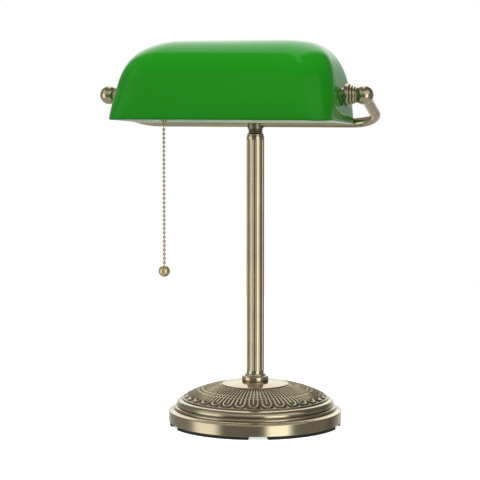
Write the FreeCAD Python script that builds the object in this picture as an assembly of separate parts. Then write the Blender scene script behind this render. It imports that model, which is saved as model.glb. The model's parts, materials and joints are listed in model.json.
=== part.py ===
"""Banker's desk lamp: round weighted foot, fluted stem, tube yoke and a tilting cased-glass shade.

Millimetres. X runs to the lamp's right, Y to its back and Z up. The origin is on the stem's axis,
in the plane that the lamp stands on.
"""
import FreeCAD, Part
import math
import os
from FreeCAD import Vector as V

# ---- foot
foot_radius = 87.3
pad_height = 3.0
pad_width = 10.0
pad_inset = 1.0
pad_count = 5
pad_gap_deg = 13.0
pad_start_deg = -65.0        # the first pad's start, from straight right
skirt_height = 10.5
cover_wall = 1.5
cover_height = 44.0          # top of the cover's cap above the table
cap_radius = 33.9
plate_thickness = 1.5
plate_edge_gap = 5.0
weight_side_gap = 9.0
weight_flange_height = 15.5
weight_boss_radius = 15.0
nut_pocket_radius = 12.5
nut_pocket_top = 21.0
inlet_bore_radius = 3.0
inlet_sleeve_radius = 3.9
inlet_sleeve_length = 6.0
inlet_sleeve_depth = 4.0     # how far the sleeve reaches in from the foot's edge
inlet_flange_radius = 4.4
inlet_flange_thickness = 1.6
inlet_flange_gap = 0.1

# ---- stem
rod_radius = 5.0
rod_bore_radius = 3.4
rod_clearance = 0.05
rod_tail = 0.8               # thread left below the nut
rod_top_gap = 0.4            # the rod's top to the underside of the yoke's tube
nut_flats = 14.0
nut_height = 4.5
washer_radius = 10.0
washer_thickness = 1.2
collar_radius = 13.5
collar_height = 7.1
collar_seat_depth = 4.0
collar_ring_height = 5.0
stem_radius = 8.9
stem_wall = 1.6
stem_length = 243.0
flute_count = 16
flute_radius = 1.35
flute_depth = 0.55
flute_end_margin = 4.0
neck_ring_radius = 8.4
neck_ring_height = 2.9
ribbed_collar_radius = 7.4
ribbed_collar_height = 4.6
rib_groove_depth = 0.5
rib_groove_width = 0.6
saddle_radius = 8.0
saddle_spigot_radius = 6.2
saddle_height = 1.4          # the collar's top to the underside of the yoke

# ---- yoke
yoke_tube_radius = 5.0
yoke_tube_wall = 1.1
yoke_rise = 27.0             # pivot line above the bar's axis
yoke_reach = 73.0            # pivot line in front of the stem
corner_radius = 28.0
hub_radius = 9.0
tube_seat = 4.0              # the arm's end to the hub's centre
lead_radius = 1.5
lead_bend = 6.0
lead_hub_bend = 4.0
lead_rod_rise = 3.0          # the lead's bend ends this far above the rod nut
lead_end_gap = 14.0          # the lead's first end to the foot's edge
lead_in_holder = 4.0
way_shift = -1.5             # the lead's way into the tube lies on the side that the lead bends to

# ---- pivots and clamps
nipple_radius = 4.0
nipple_bore_radius = 2.6
nipple_end_gap = yoke_tube_radius + 0.1     # the nipple's end to the hub's centre, clear of the arm's end
pivot_clearance = 0.05
collar_hub_gap = 0.3
collar_sink = 0.25           # how far the collar's last ring laps over the ball
clamp_steps = ((10.5, 4.6), (9.0, 2.6), (8.0, 2.6), (7.25, 2.4))    # radius and width, from the glass out
clamp_rim_gap = 2.4          # glass to clamp at the pivot, filled by the outer washer
outer_washer_radius = 7.0
inner_washer_radius = 9.0
glass_hole_clearance = 0.6
face_gap = 0.1               # between faces that turn on each other
inner_washer_thickness = 4.0
pivot_nut_flats = 13.0
pivot_nut_height = 3.0
left_nipple_tail = 6.0       # thread past the nut, which carries the lamp holder
right_nipple_tail = 3.0

# ---- shade
shade_half_length = 108.5
shade_half_depth = 62.0
shade_height = 78.5
shade_wall = 4.0
pivot_above_rim = 25.7
rest_tilt_deg = 2.75         # front edge up
rim_corner = 20.0            # plan radius of the corners at the rim
plan_corner = 30.0           # and above it
corner_rise = 0.35           # share of the height over which they open out
rim_lead = 4.0               # the rim stands ahead of the walls above it
length_powers = (2.2, 7.0)
depth_powers = (2.3, 3.0)
crown_shift = 16.0           # the crown stands behind the middle of the rim
crown_shift_power = 6
shade_levels = (0.0, 0.14, 0.28, 0.42, 0.56, 0.68, 0.78, 0.86, 0.92, 0.96, 0.985)

# ---- lamp holder and bulb
holder_radius = 16.5
holder_wall = 0.8
holder_cap_length = 11.0
holder_shell_length = 40.0
insulator_length = 17.0
insulator_clearance = 0.1
screw_shell_radius = 14.0
screw_shell_wall = 0.5
screw_shell_length = 25.0
liner_end_gap = 1.0
bulb_cap_radius = 13.2
bulb_cap_length = 24.0
bulb_radius = 22.5
bulb_length = 78.0
bulb_glass_wall = 0.8
contact_radius = 4.0
contact_thickness = 1.0

# ---- pull switch and chain
chain_from_cap = 14.1        # along the lamp holder, from its cap to the chain
chain_from_body = 9.0        # the switch body's start to the chain
spout_radius = 3.6
spout_bore_radius = 1.6
spout_length = 2.0
pull_wire_radius = 0.7
pull_ball_radius = 1.5
pull_ball_gap = 0.7          # below the spout
cup_radius = 2.3
cup_wall = 0.4
cup_mouth_radius = 1.35
cup_pitch = 4.4              # pull ball to first bead, both held in the cup
cam_radius = 7.0
cam_thickness = 3.0
cam_pin_radius = 1.2
cam_side_room = 1.0
cam_edge_room = 2.0
cam_notch_radius = 1.6
cam_notch_count = 4
wire_slot_width = 6.0
bead_radius = 1.55
bead_pitch = 4.18
bead_count = 34
link_radius = 0.4
link_clearance = 0.05
end_ball_radius = 5.6

parts = {}


def cylinder(radius, length, at, along=V(0, 0, 1)):
    return Part.makeCylinder(radius, length, at, along)


def tube(radius, bore, length, at, along=V(0, 0, 1)):
    return cylinder(radius, length, at, along).cut(cylinder(bore, length, at, along))


def turned(outline, at=V(0, 0, 0), along=V(0, 0, 1)):
    """Solid of revolution. A point is (r, z), or (r, z, r_mid, z_mid) for an arc that ends at r, z."""
    edges = []
    last = outline[0]
    for point in list(outline[1:]) + [outline[0][:2]]:
        start = V(last[0], 0, last[1])
        end = V(point[0], 0, point[1])
        if len(point) == 4:
            edges.append(Part.Arc(start, V(point[2], 0, point[3]), end).toShape())
        elif start.distanceToPoint(end) > 1e-6:
            edges.append(Part.LineSegment(start, end).toShape())
        last = point
    solid = Part.Face(Part.Wire(edges)).revolve(V(0, 0, 0), V(0, 0, 1), 360)
    solid.Placement = FreeCAD.Placement(at, FreeCAD.Rotation(V(0, 0, 1), along))
    return solid


def hexagon(flats, height, bore, at, along=V(0, 0, 1)):
    corner = flats / math.sqrt(3)
    points = [V(corner * math.cos(math.radians(60 * i)), corner * math.sin(math.radians(60 * i)), 0)
              for i in range(7)]
    prism = Part.Face(Part.makePolygon(points)).extrude(V(0, 0, height))
    nut = prism.cut(cylinder(bore, height, V(0, 0, 0)))
    nut.Placement = FreeCAD.Placement(at, FreeCAD.Rotation(V(0, 0, 1), along))
    return nut


def joined(first, *others):
    return first.fuse(list(others)).removeSplitter()


# ---- levels and centres that several pieces share
cover_bottom = pad_height
stem_bottom = cover_height + collar_height - collar_seat_depth
stem_top = stem_bottom + stem_length
collar_bottom = stem_top + neck_ring_height
saddle_bottom = collar_bottom + ribbed_collar_height
bar_z = saddle_bottom + saddle_height + yoke_tube_radius
nut_bottom = nut_pocket_top - washer_thickness - nut_height
rod_top = bar_z - yoke_tube_radius - rod_top_gap
pivot_y = -yoke_reach
pivot_z = bar_z + yoke_rise
arm_length = math.hypot(yoke_reach, yoke_rise)
arm = V(0, -yoke_reach / arm_length, yoke_rise / arm_length)
tube_bore_radius = yoke_tube_radius - yoke_tube_wall
mid_arc = 1 - math.sqrt(0.5)         # from a quarter arc's middle to either line it joins, over its radius
corner_near = corner_radius * mid_arc


def shade_size(share, inset=0.0):
    """Half length, half depth and plan corner radius at a share of the shade's height."""
    length = (shade_half_length - inset) * (1 - share ** length_powers[0]) ** (1 / length_powers[1])
    depth = (shade_half_depth - inset) * (1 - share ** depth_powers[0]) ** (1 / depth_powers[1])
    opened = min(1.0, share / corner_rise)
    corner = min(rim_corner + (plan_corner - rim_corner) * opened - inset, 0.85 * depth)
    return length, depth, corner


def shade_back(share):
    """How far a level of the shade stands behind the pivot line."""
    return crown_shift * share ** crown_shift_power - rim_lead * max(0.0, 1 - share / corner_rise)


glass_face = shade_size(pivot_above_rim / shade_height)[0]      # outside of an end wall at the pivot line
clamp_face = glass_face + clamp_rim_gap
clamp_length = sum(width for radius, width in clamp_steps)
hub_standoff = math.sqrt((hub_radius + collar_hub_gap) ** 2 - clamp_steps[-1][0] ** 2) - collar_sink
hub_half_span = clamp_face + clamp_length + hub_standoff
inner_face = glass_face - shade_wall
washer_seat = inner_face - inner_washer_thickness
nut_seat = washer_seat - pivot_nut_height
holder_start = -nut_seat
chain_x = holder_start + holder_cap_length + chain_from_cap


def cover_outline(inward=0.0):
    """Skirt, ledge, two rounded steps, the decorated band and the cap, moved inward by a wall."""
    edge = foot_radius
    top = cover_height
    skirt_top = cover_bottom + skirt_height
    points = [
        (edge, cover_bottom),
        (edge, skirt_top),
        (edge - 1.4, skirt_top + 1.3, edge - 0.4, skirt_top + 0.9),
        (edge - 4.6, skirt_top + 2.4),
        (edge - 5.4, skirt_top + 3.2),
        (edge - 7.2, skirt_top + 5.6, edge - 5.8, skirt_top + 5.0),
        (edge - 7.9, skirt_top + 6.1),
        (edge - 12.0, skirt_top + 12.2, edge - 8.9, skirt_top + 10.4),
        (edge - 13.4, skirt_top + 12.6),
        (edge - 14.0, skirt_top + 13.9),
        (cap_radius, top - 3.9, (edge - 14.0 + cap_radius) / 2 + 4.0, top - 9.6),
        (cap_radius - 0.1, top - 3.3),
        (collar_radius, top, (collar_radius + cap_radius) / 2, top - 1.0),
    ]
    moved = []
    for point in points:
        moved.append(tuple(value - inward for value in point))
    return moved


def make_foot():
    outer = turned(cover_outline() + [(0, cover_height), (0, cover_bottom)])
    hollow = turned(cover_outline(cover_wall) + [(0, cover_height - cover_wall),
                                                  (0, cover_bottom - cover_wall)])
    inlet_z = cover_bottom + skirt_height / 2
    inlet = cylinder(inlet_sleeve_radius, foot_radius, V(0, foot_radius / 2, inlet_z), V(0, 1, 0))
    rod_hole = cylinder(rod_radius + rod_clearance, cover_height, V(0, 0, cover_bottom))
    parts["foot_cover"] = outer.cut([hollow, inlet, rod_hole])

    plate_radius = foot_radius - cover_wall - plate_edge_gap
    parts["bottom_plate"] = cylinder(plate_radius, plate_thickness, V(0, 0, cover_bottom))

    pad_outer = foot_radius - pad_inset
    ring = tube(pad_outer, pad_outer - pad_width, pad_height, V(0, 0, 0))
    step = 360.0 / pad_count
    sector = Part.makeCylinder(foot_radius, pad_height, V(0, 0, 0), V(0, 0, 1), step - pad_gap_deg)
    pads = []
    for i in range(pad_count):
        wedge = sector.copy()
        wedge.rotate(V(0, 0, 0), V(0, 0, 1), pad_start_deg + i * step)
        pads.append(ring.common(wedge).Solids[0])
    parts["foot_pads"] = Part.makeCompound(pads)

    bottom = cover_bottom + plate_thickness
    flange_radius = foot_radius - cover_wall - weight_side_gap
    flange_top = bottom + weight_flange_height
    boss_top = cover_height - cover_wall
    block = turned([(0, bottom), (flange_radius, bottom), (flange_radius, flange_top - 2),
                    (flange_radius - 2, flange_top), (flange_radius - 14, flange_top + 1),
                    (weight_boss_radius + 12, boss_top - 7), (weight_boss_radius, boss_top - 5),
                    (weight_boss_radius - 3, boss_top), (0, boss_top)])
    pocket = cylinder(nut_pocket_radius, nut_pocket_top - bottom, V(0, 0, bottom))
    channel = joined(cylinder(inlet_sleeve_radius, foot_radius, V(0, 0, inlet_z), V(0, 1, 0)),
                     Part.makeBox(2 * inlet_sleeve_radius, foot_radius, inlet_z - bottom,
                                  V(-inlet_sleeve_radius, 0, bottom)))
    hole = cylinder(rod_radius + rod_clearance, cover_height, V(0, 0, bottom))
    parts["foot_weight"] = block.cut([pocket, channel, hole])

    sleeve = tube(inlet_sleeve_radius, inlet_bore_radius, inlet_sleeve_length,
                  V(0, foot_radius - inlet_sleeve_depth, inlet_z), V(0, 1, 0))
    lip = tube(inlet_flange_radius, inlet_bore_radius, inlet_flange_thickness,
               V(0, foot_radius + inlet_flange_gap, inlet_z), V(0, 1, 0))
    parts["cord_inlet_bush"] = joined(sleeve, lip)
    return inlet_z


def make_stem():
    parts["lock_washer"] = tube(washer_radius, rod_radius + rod_clearance, washer_thickness,
                                V(0, 0, nut_bottom + nut_height))
    parts["rod_nut"] = hexagon(nut_flats, nut_height, rod_radius, V(0, 0, nut_bottom))
    rod_bottom = nut_bottom - rod_tail
    parts["threaded_rod"] = tube(rod_radius, rod_bore_radius, rod_top - rod_bottom, V(0, 0, rod_bottom))

    base = cover_height
    flare = stem_radius + 1.4
    body = turned([(rod_radius + rod_clearance, base), (collar_radius - 0.6, base),
                   (collar_radius, base + 0.6), (collar_radius, base + collar_ring_height - 0.6),
                   (collar_radius - 0.6, base + collar_ring_height),
                   (flare, base + collar_height, flare + 0.5, base + collar_ring_height + 0.8),
                   (rod_radius + rod_clearance, base + collar_height)])
    seat = cylinder(stem_radius, collar_seat_depth, V(0, 0, stem_bottom))
    parts["foot_collar"] = body.cut(seat)

    stem = tube(stem_radius, stem_radius - stem_wall, stem_length, V(0, 0, stem_bottom))
    low = stem_bottom + collar_seat_depth + flute_end_margin
    high = stem_top - flute_end_margin
    offset = stem_radius + flute_radius - flute_depth
    flute = joined(cylinder(flute_radius, high - low, V(offset, 0, low)),
                   Part.makeSphere(flute_radius, V(offset, 0, low)),
                   Part.makeSphere(flute_radius, V(offset, 0, high)))
    flutes = []
    for i in range(flute_count):
        one = flute.copy()
        one.rotate(V(0, 0, 0), V(0, 0, 1), 360.0 * i / flute_count)
        flutes.append(one)
    parts["stem_tube"] = stem.cut(flutes)

    ring_mid = stem_top + neck_ring_height / 2
    parts["neck_ring"] = turned([(rod_radius + rod_clearance, stem_top), (neck_ring_radius - 0.5, stem_top),
                                 (neck_ring_radius - 0.5, collar_bottom, neck_ring_radius, ring_mid),
                                 (rod_radius + rod_clearance, collar_bottom)])
    ribbed = tube(ribbed_collar_radius, saddle_spigot_radius, ribbed_collar_height, V(0, 0, collar_bottom))
    grooves = [tube(ribbed_collar_radius + 1, ribbed_collar_radius - rib_groove_depth, rib_groove_width,
                    V(0, 0, collar_bottom + share * ribbed_collar_height)) for share in (0.2, 0.62)]
    parts["ribbed_collar"] = ribbed.cut(grooves)

    bar = cylinder(yoke_tube_radius, 4 * saddle_radius, V(-2 * saddle_radius, 0, bar_z), V(1, 0, 0))
    spigot = cylinder(saddle_spigot_radius, ribbed_collar_height, V(0, 0, collar_bottom))
    block = cylinder(saddle_radius, bar_z - saddle_bottom, V(0, 0, saddle_bottom))
    thread = cylinder(rod_radius, rod_top - collar_bottom, V(0, 0, collar_bottom))
    way = cylinder(rod_bore_radius, 2 * yoke_tube_radius, V(way_shift, 0, rod_top))
    parts["yoke_saddle"] = joined(block, spigot).cut([bar, thread, way])


def on_arm(x, along):
    """A place on the yoke's plane, at a distance from the bar's axis towards the pivots."""
    return V(x, arm.y * along, bar_z + arm.z * along)


def yoke_path():
    """Centre line of the tube from the left hub round the two corners to the right hub."""
    edges = []
    for side in (-1, 1):
        outer = side * hub_half_span
        hub = on_arm(outer, arm_length - tube_seat)
        arm_end = on_arm(outer, corner_radius)
        middle = on_arm(outer - side * corner_near, corner_near)
        bar_end = on_arm(outer - side * corner_radius, 0)
        edges.append((Part.LineSegment(hub, arm_end), Part.Arc(arm_end, middle, bar_end), bar_end))
    bar = Part.LineSegment(edges[0][2], edges[1][2])
    return [edges[0][0], edges[0][1], bar, edges[1][1], edges[1][0]]


def swept(curves, radius):
    edges = [curve.toShape() for curve in curves]
    path = Part.Wire(Part.__sortEdges__(edges))
    start = edges[0].valueAt(edges[0].FirstParameter)
    tangent = edges[0].tangentAt(edges[0].FirstParameter)
    profile = Part.Wire(Part.makeCircle(radius, start, tangent))
    return path.makePipeShell([profile], True, False)


def make_yoke(inlet_z):
    curves = yoke_path()
    solid = swept(curves, yoke_tube_radius).cut(swept(curves, tube_bore_radius))
    way = cylinder(rod_bore_radius, yoke_tube_radius, V(way_shift, 0, bar_z - yoke_tube_radius))
    parts["yoke_tube"] = solid.cut(way)
    oblique = V(0.3, 0.5, 0.8)       # keeps the spheres' seams away from the bores
    for side, name in ((-1, "left_hub"), (1, "right_hub")):
        centre = V(side * hub_half_span, pivot_y, pivot_z)
        inward = V(-side, 0, 0)
        ball = Part.makeSphere(hub_radius, centre, oblique)
        seat = cylinder(yoke_tube_radius, hub_radius, centre - arm * tube_seat, arm * -1)
        chamber = Part.makeSphere(yoke_tube_radius, centre, oblique)
        bore = cylinder(nipple_radius + pivot_clearance, hub_radius, centre, inward)
        parts[name] = ball.cut([seat, chamber, bore])

    lead_start = V(0, foot_radius - lead_end_gap, inlet_z)
    turn = nut_bottom + lead_rod_rise - inlet_z
    into_rod = V(0, turn, inlet_z)
    up_start = V(0, 0, inlet_z + turn)
    bar_turn = V(0, 0, bar_z - lead_bend)
    into_bar = V(-lead_bend, 0, bar_z)
    foot_run = [
        Part.LineSegment(lead_start, into_rod),
        Part.Arc(into_rod, V(0, turn * mid_arc, inlet_z + turn * mid_arc), up_start),
        Part.LineSegment(up_start, bar_turn),
        Part.Arc(bar_turn, V(-lead_bend * mid_arc, 0, bar_z - lead_bend * mid_arc), into_bar),
    ]
    hub = V(-hub_half_span, pivot_y, pivot_z)
    corner = on_arm(-(hub_half_span - corner_radius), 0)
    arm_start = on_arm(-hub_half_span, corner_radius)
    arm_end = hub - arm * lead_hub_bend
    inside = hub + V(lead_hub_bend, 0, 0)
    bulge = hub + (V(lead_hub_bend, 0, 0) - arm * lead_hub_bend) * mid_arc
    arm_run = [
        Part.LineSegment(into_bar, corner),
        Part.Arc(corner, on_arm(-(hub_half_span - corner_near), corner_near), arm_start),
        Part.LineSegment(arm_start, arm_end),
        Part.Arc(arm_end, bulge, inside),
        Part.LineSegment(inside, V(holder_start + lead_in_holder, pivot_y, pivot_z)),
    ]
    parts["lead_wire"] = swept(foot_run + arm_run, lead_radius)


def rounded_rectangle(length, depth, corner, z, back=0.0):
    s = corner * mid_arc
    edges = []
    for sx, sy in ((1, 1), (-1, 1), (-1, -1), (1, -1)):
        on_side = V(sx * length, back + sy * (depth - corner), z)
        on_front = V(sx * (length - corner), back + sy * depth, z)
        middle = V(sx * (length - s), back + sy * (depth - s), z)
        ends = (on_side, on_front) if sx * sy > 0 else (on_front, on_side)
        edges.append((ends[0], middle, ends[1]))
    shapes = []
    for i, (start, middle, end) in enumerate(edges):
        shapes.append(Part.Arc(start, middle, end).toShape())
        shapes.append(Part.LineSegment(end, edges[(i + 1) % 4][0]).toShape())
    return Part.Wire(shapes)


def shade_form(inset=0.0):
    height = shade_height - inset
    wires = []
    for share in shade_levels:
        length, depth, corner = shade_size(share, inset)
        wires.append(rounded_rectangle(length, depth, corner, share * height, shade_back(share)))
    return Part.makeLoft(wires, True, False)


def to_shade(solid):
    """From the shade's own upright frame, with the rim at z 0, to its place on the pivots."""
    placed = solid.copy()
    placed.translate(V(0, pivot_y, pivot_z - pivot_above_rim))
    placed.rotate(V(0, pivot_y, pivot_z), V(1, 0, 0), -rest_tilt_deg)
    return placed


def make_shade():
    lip = 1.0
    low = shade_size(0.0, shade_wall)
    mouth = Part.Face(rounded_rectangle(*low, -lip, shade_back(0.0))).extrude(V(0, 0, lip))
    shell = shade_form().cut([shade_form(shade_wall), mouth])
    holes = cylinder(nipple_radius + glass_hole_clearance, 2 * clamp_face, V(-clamp_face, 0, pivot_above_rim),
                     V(1, 0, 0))
    parts["glass_shade"] = to_shade(shell.cut(holes))


def make_pivots():
    form = to_shade(shade_form())
    core = to_shade(shade_form(shade_wall))
    for side, name in ((-1, "left"), (1, "right")):
        outward = V(side, 0, 0)

        def at(x):
            return V(side * x, pivot_y, pivot_z)

        nipple_end = hub_half_span - nipple_end_gap
        inner_end = nut_seat - (left_nipple_tail if side < 0 else right_nipple_tail)
        parts[name + "_pivot_nipple"] = tube(nipple_radius, nipple_bore_radius, nipple_end - inner_end,
                                             at(inner_end), outward)
        reach = clamp_face
        rings = []
        for radius, width in clamp_steps:
            rings.append(tube(radius, nipple_radius + pivot_clearance, width, at(reach), outward))
            reach += width
        collar = joined(rings[0], *rings[1:])
        ball = Part.makeSphere(hub_radius + collar_hub_gap, at(hub_half_span))
        parts[name + "_clamp_collar"] = collar.cut(ball)

        blank = tube(outer_washer_radius, nipple_radius, clamp_face - face_gap - inner_face, at(inner_face),
                     outward)
        parts[name + "_outer_washer"] = blank.cut(form)
        blank = tube(inner_washer_radius, nipple_radius, shade_wall / 2 + inner_washer_thickness,
                     at(washer_seat), outward)
        parts[name + "_inner_washer"] = blank.common(core)
        parts[name + "_pivot_nut"] = hexagon(pivot_nut_flats, pivot_nut_height, nipple_radius,
                                             at(nut_seat), outward)


def make_holder():
    """Cap, shell, switch body and screw shell, laid along the pivot line from the left pivot nut."""
    along = V(1, 0, 0)

    def at(x):
        return V(x, pivot_y, pivot_z)

    cap_end = holder_start + holder_cap_length
    cap_inner = holder_radius - holder_wall
    parts["holder_cap"] = turned(
        [(nipple_radius, 0), (8.0, 0), (holder_radius, 7.0, 14.4, 2.3), (holder_radius, holder_cap_length),
         (cap_inner, holder_cap_length), (cap_inner, 7.2), (7.6, 1.2, 13.6, 3.1), (nipple_radius, 1.2)],
        at(holder_start), along)
    shell_end = cap_end + holder_shell_length
    shell = tube(holder_radius, holder_radius - holder_wall, holder_shell_length, at(cap_end), along)
    spout_top = pivot_z - holder_radius + holder_wall
    spout_bottom = pivot_z - holder_radius - spout_length
    window = cylinder(spout_radius, 4.0, V(chain_x, pivot_y, spout_top - 3.0))
    parts["holder_shell"] = shell.cut(window)
    spout = turned([(spout_bore_radius, 0), (spout_radius - 0.9, 0), (spout_radius - 0.3, 0.7),
                    (spout_radius, spout_length - 0.2), (spout_radius, spout_top - spout_bottom),
                    (spout_bore_radius, spout_top - spout_bottom)],
                   V(chain_x, pivot_y, spout_bottom))
    parts["chain_spout"] = spout.common(cylinder(holder_radius + spout_length, 20,
                                                 V(chain_x - 10, pivot_y, pivot_z), along))

    body_start = chain_x - chain_from_body
    insulator_radius = holder_radius - holder_wall - insulator_clearance
    body = cylinder(insulator_radius, insulator_length, at(body_start), along)
    pin_length = cam_thickness + 2 * cam_side_room
    room_half = cam_radius + cam_edge_room
    room_start = chain_x - pin_length / 2
    room = Part.makeBox(pin_length, 2 * room_half, 2 * room_half,
                        V(room_start, pivot_y - room_half, pivot_z - room_half))
    slot = Part.makeBox(pin_length, wire_slot_width, holder_radius,
                        V(room_start, pivot_y - wire_slot_width / 2, pivot_z - holder_radius))
    parts["switch_body"] = body.cut([room, slot])

    parts["cam_pin"] = cylinder(cam_pin_radius, pin_length, at(chain_x - pin_length / 2), along)
    cam_start = at(chain_x - cam_thickness / 2)
    disc = tube(cam_radius, cam_pin_radius + pivot_clearance, cam_thickness, cam_start, along)
    notches = []
    notch_place = cam_start + V(0, 0, cam_radius + cam_notch_radius / 4)
    for i in range(cam_notch_count):
        notch = cylinder(cam_notch_radius, cam_thickness, notch_place, along)
        notch.rotate(at(chain_x), along, 360 * (i + 0.5) / cam_notch_count)
        notches.append(notch)
    parts["switch_cam"] = disc.cut(notches)

    screw_start = body_start + insulator_length
    parts["screw_shell"] = tube(screw_shell_radius, screw_shell_radius - screw_shell_wall, screw_shell_length,
                                at(screw_start), along)
    parts["liner"] = tube(insulator_radius, screw_shell_radius + insulator_clearance,
                          shell_end - screw_start - liner_end_gap, at(screw_start), along)
    parts["centre_contact"] = cylinder(contact_radius, contact_thickness, at(screw_start), along)
    return screw_start + contact_thickness + face_gap, spout_bottom


def make_bulb(start):
    along = V(1, 0, 0)
    place = V(start, pivot_y, pivot_z)
    neck_x = bulb_cap_length
    neck_r = bulb_cap_radius
    wall = bulb_glass_wall
    centre_x = bulb_length - bulb_radius
    meet = centre_x - 0.35 * bulb_radius         # the neck runs into the globe here
    meet_r = math.sqrt(bulb_radius ** 2 - (meet - centre_x) ** 2)
    mid_x = (neck_x + meet) / 2
    mid_r = (neck_r + bulb_radius) / 2 - 1.2

    def on_globe(radius):
        return radius * math.sin(1.0), centre_x + radius * math.cos(1.0)

    parts["bulb_glass"] = turned(
        [(neck_r, neck_x), (meet_r, meet, mid_r, mid_x), (0, bulb_length, *on_globe(bulb_radius)),
         (0, bulb_length - wall), (meet_r - wall, meet, *on_globe(bulb_radius - wall)),
         (neck_r - wall, neck_x, mid_r - wall, mid_x)], place, along)
    parts["bulb_cap"] = turned(
        [(0, 1.2), (contact_radius, 1.2), (9.0, 3.6), (neck_r, 4.6), (neck_r, neck_x), (neck_r - 0.5, neck_x),
         (neck_r - 0.5, 5.0), (8.8, 4.2), (contact_radius, 1.9), (0, 1.9)], place, along)
    parts["bulb_contact"] = cylinder(contact_radius - 0.6, 1.2, place, along)
    stem_r = neck_r - wall - 0.2
    stem_end = centre_x - 4.0
    parts["bulb_stem"] = turned(
        [(0, neck_x - 2), (stem_r, neck_x - 2), (stem_r, neck_x - 0.5), (6.0, neck_x + 3.0),
         (3.2, stem_end - 2.0), (2.2, stem_end), (0, stem_end)], place, along)


def make_chain(spout_bottom):
    ball_z = spout_bottom - pull_ball_radius - pull_ball_gap
    wire_top = pivot_z - cam_radius - 0.4
    wire = cylinder(pull_wire_radius, wire_top - ball_z, V(chain_x, pivot_y, ball_z))
    stop = cylinder(spout_bore_radius - 0.3, 0.8, V(chain_x, pivot_y, wire_top - 0.8))
    parts["pull_wire"] = joined(wire, Part.makeSphere(pull_ball_radius, V(chain_x, pivot_y, ball_z)), stop)

    first_z = ball_z - cup_pitch
    ends = (ball_z, first_z)
    cup = joined(cylinder(cup_radius, cup_pitch, V(chain_x, pivot_y, first_z)),
                 *[Part.makeSphere(cup_radius, V(chain_x, pivot_y, z)) for z in ends])
    hollows = [Part.makeSphere(cup_radius - cup_wall, V(chain_x, pivot_y, z)) for z in ends]
    mouths = [cylinder(cup_mouth_radius, 2 * cup_radius, V(chain_x, pivot_y, ball_z)),
              cylinder(cup_mouth_radius, 2 * cup_radius, V(chain_x, pivot_y, first_z), V(0, 0, -1))]
    parts["chain_cup"] = cup.cut(hollows + mouths)

    beads = []
    links = []
    hole = link_radius + link_clearance
    half_gap = bead_pitch / 2 - 0.4
    for i in range(bead_count):
        z = first_z - i * bead_pitch
        ball = Part.makeSphere(bead_radius, V(chain_x, pivot_y, z))
        beads.append(ball.cut(cylinder(hole, 2 * bead_radius, V(chain_x, pivot_y, z - bead_radius))))
        middle = z - bead_pitch / 2
        links.append(cylinder(link_radius, 2 * half_gap, V(chain_x, pivot_y, middle - half_gap)))
    parts["chain_beads"] = Part.makeCompound(beads)
    parts["chain_links"] = Part.makeCompound(links)
    knob_top = first_z - bead_count * bead_pitch + bead_radius
    centre = V(chain_x, pivot_y, knob_top - end_ball_radius)
    knob = Part.makeSphere(end_ball_radius, centre)
    knob_hole = cylinder(hole, 2 * bead_radius, V(chain_x, pivot_y, knob_top - 2 * bead_radius))
    parts["end_ball"] = knob.cut(knob_hole)
    return ball_z, first_z


def main():
    inlet_z = make_foot()
    make_stem()
    make_yoke(inlet_z)
    make_shade()
    make_pivots()
    bulb_start, spout_bottom = make_holder()
    make_bulb(bulb_start)
    ball_z, first_z = make_chain(spout_bottom)
    os.makedirs("parts", exist_ok=True)
    for name, shape in parts.items():
        shape.exportStep("parts/" + name + ".step")
        print(name, len(shape.Solids), shape.isValid(), round(shape.Volume, 1))
    print("chain x", round(chain_x, 3), "hubs", round(hub_half_span, 3), "bulb", round(bulb_start, 3))
    print("pivot", pivot_y, round(pivot_z, 3), "pull ball", round(ball_z, 3), "first bead", round(first_z, 3))


main()
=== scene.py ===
"""Banker's desk lamp: the pieces that are seen, their finishes, and a plain studio round them."""
import json
import math

import bmesh
import bpy
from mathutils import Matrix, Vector


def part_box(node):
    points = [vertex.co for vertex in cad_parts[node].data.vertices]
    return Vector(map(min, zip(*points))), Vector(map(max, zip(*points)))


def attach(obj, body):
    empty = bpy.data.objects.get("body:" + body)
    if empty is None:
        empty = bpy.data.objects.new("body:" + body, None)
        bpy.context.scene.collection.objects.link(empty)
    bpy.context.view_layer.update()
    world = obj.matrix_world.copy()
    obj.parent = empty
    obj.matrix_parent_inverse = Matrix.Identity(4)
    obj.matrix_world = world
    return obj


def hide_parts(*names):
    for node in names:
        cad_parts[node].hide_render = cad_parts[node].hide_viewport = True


bl_info = {
    "name": "Banker's Desk Lamp",
    "version": (1, 0, 0),
    "blender": (4, 5, 0),
    "location": "View3D > Sidebar > Lamp",
    "description": "Builds a banker's desk lamp with a cased glass shade and an embossed brass foot",
    "category": "Object",
}

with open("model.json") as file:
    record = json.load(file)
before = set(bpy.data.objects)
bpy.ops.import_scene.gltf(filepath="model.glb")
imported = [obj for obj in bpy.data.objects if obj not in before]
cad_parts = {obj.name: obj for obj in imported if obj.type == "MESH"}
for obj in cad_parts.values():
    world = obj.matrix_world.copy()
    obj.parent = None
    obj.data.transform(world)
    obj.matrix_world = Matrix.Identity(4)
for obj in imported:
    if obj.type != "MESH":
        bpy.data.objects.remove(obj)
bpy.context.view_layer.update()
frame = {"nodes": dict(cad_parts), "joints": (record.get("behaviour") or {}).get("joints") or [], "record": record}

FULL_TURN = 2 * math.pi
MM = 0.001
BRUSH_MARKS = 1600.0
BRUSH_DEPTH = 0.02 * MM


def node_box(name):
    low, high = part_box(name)
    return Vector(low), Vector(high)


def joint_place(name):
    for joint in frame["joints"]:
        if joint["name"] == name:
            return Vector(joint["pos_m"])
    raise ValueError("no joint is called " + name)


PIVOT = joint_place("shade_tilt")
HUB_LOW, HUB_HIGH = node_box("right_hub")
COVER_LOW, COVER_HIGH = node_box("foot_cover")
KNOB_LOW, KNOB_HIGH = node_box("end_ball")
SHADE_LOW, SHADE_HIGH = node_box("glass_shade")

# Which way the camera looks: its bearing from the lamp's front.
VIEW_SIDE = math.radians(16.5)

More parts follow.
